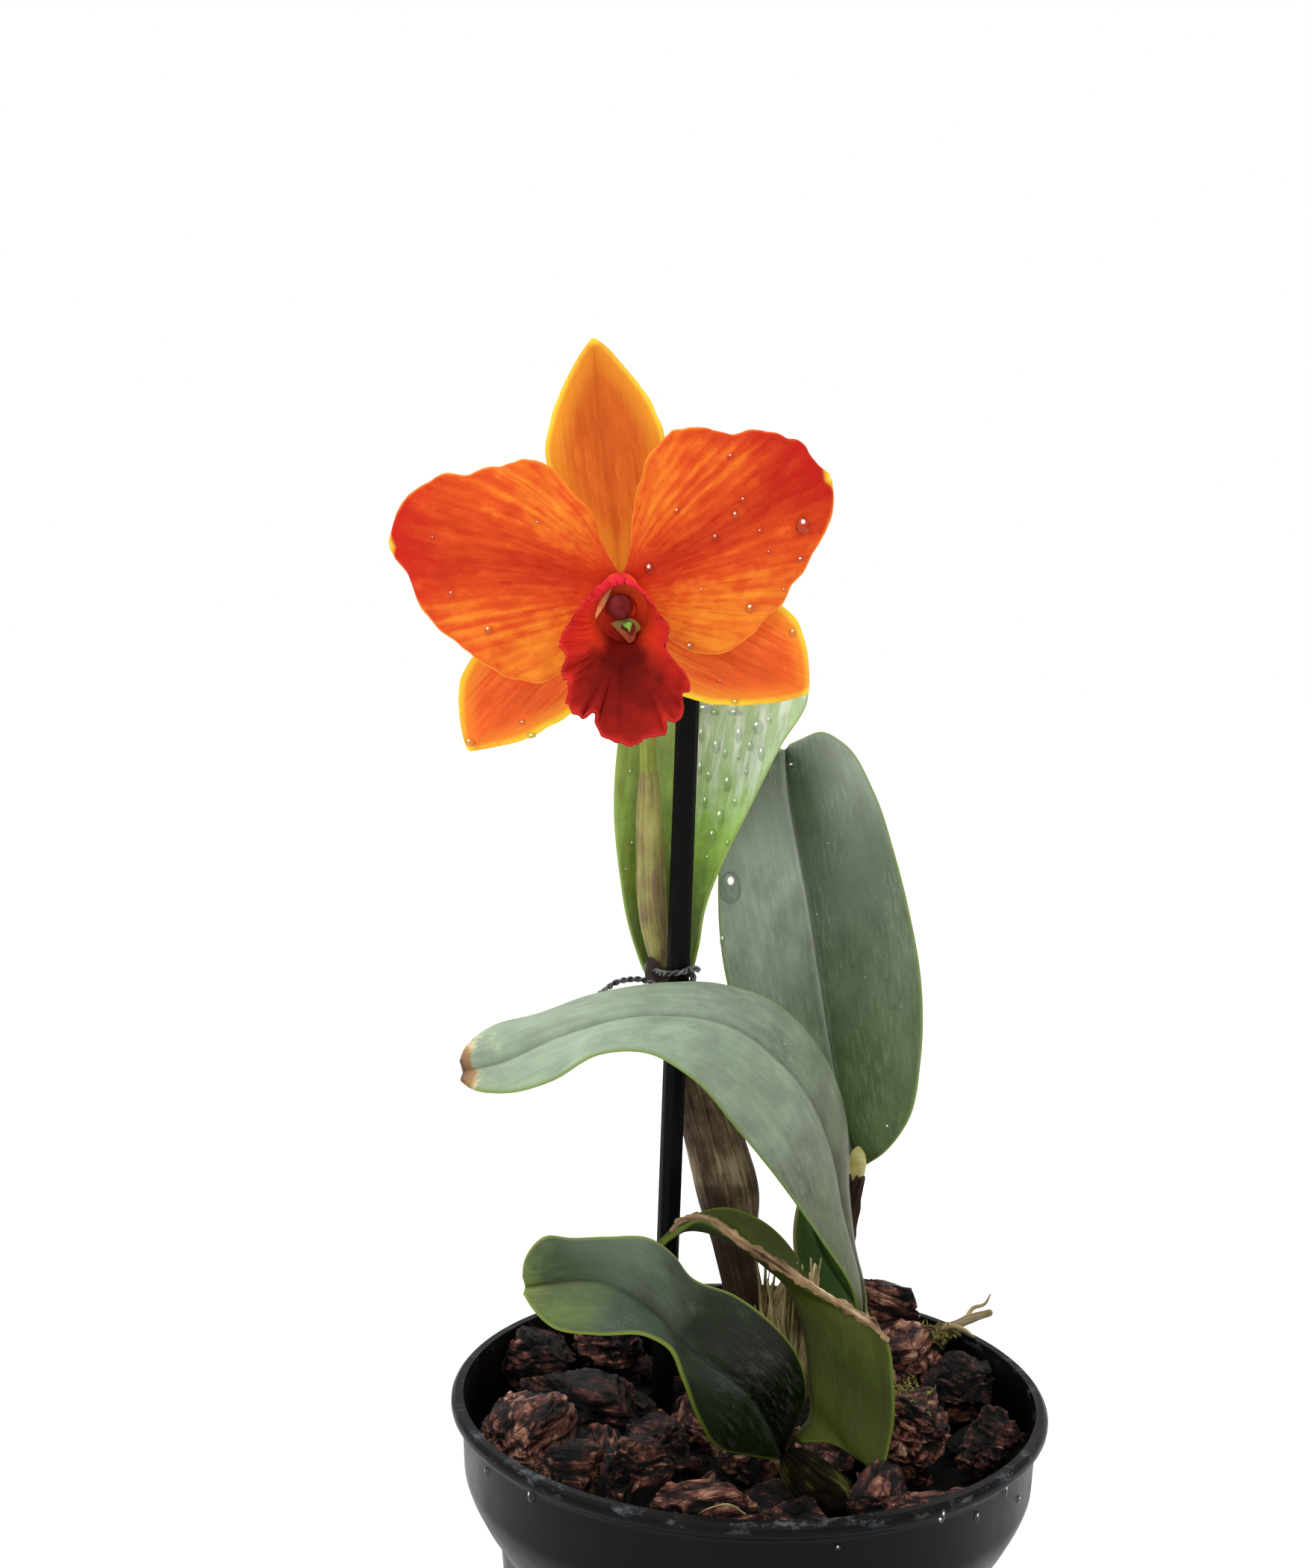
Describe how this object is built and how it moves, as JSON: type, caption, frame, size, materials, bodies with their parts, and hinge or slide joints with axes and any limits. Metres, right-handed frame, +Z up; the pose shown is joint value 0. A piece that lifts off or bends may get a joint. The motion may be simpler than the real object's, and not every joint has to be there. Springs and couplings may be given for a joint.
{
  "type": "potted cattleya orchid in flower",
  "caption": "Cattleya orchid with one orange-red flower, leathery leaves and pseudobulbs, tied to a stake, in a round black nursery pot of bark chips.",
  "frame": {"origin": "middle of the pot's base, on the surface it stands on", "axes": "+Z up along the pot's axis, -Y towards the side that the flower faces, +X to the right of a viewer facing the flower"},
  "size_m": [0.1349, 0.12, 0.3146],
  "materials": {
    "pot_plastic": "moulded black polypropylene, scuffed and wet in places",
    "bark": "rough composted pine bark chips",
    "stake_plastic": "ribbed black plastic",
    "tie_wire": "dark coated garden wire",
    "dry_sheath": "dry papery sheath",
    "green_stem": "smooth olive green stem",
    "fresh_leaf": "fresh green leathery leaf with a waxy sheen",
    "leaf": "grey-green leathery leaf with a waxy sheen",
    "sepal": "soft orange with a yellow edge",
    "petal": "soft mottled orange with red veins",
    "lip": "velvety dark red"
  },
  "bodies": {
    "root": {"pot": "pot_plastic", "bark_bed": "bark", "stake": "stake_plastic", "wire_tie": "tie_wire", "rhizome": "dry_sheath", "root_twig": "dry_sheath", "pseudobulb_lead": "dry_sheath", "pseudobulb_right": "dry_sheath", "pseudobulb_middle": "dry_sheath", "pseudobulb_arching": "green_stem", "pseudobulb_front": "green_stem", "spathe": "green_stem", "flower_stalk": "green_stem", "leaf_behind_flower": "fresh_leaf", "leaf_young": "fresh_leaf", "leaf_right": "leaf", "leaf_arching": "leaf", "leaf_front_left": "leaf", "leaf_front_right": "leaf", "dorsal_sepal": "sepal", "lateral_sepal_left": "sepal", "lateral_sepal_right": "sepal", "petal_left": "petal", "petal_right": "petal", "lip": "lip", "column": "lip"}
  },
  "joints": []
}
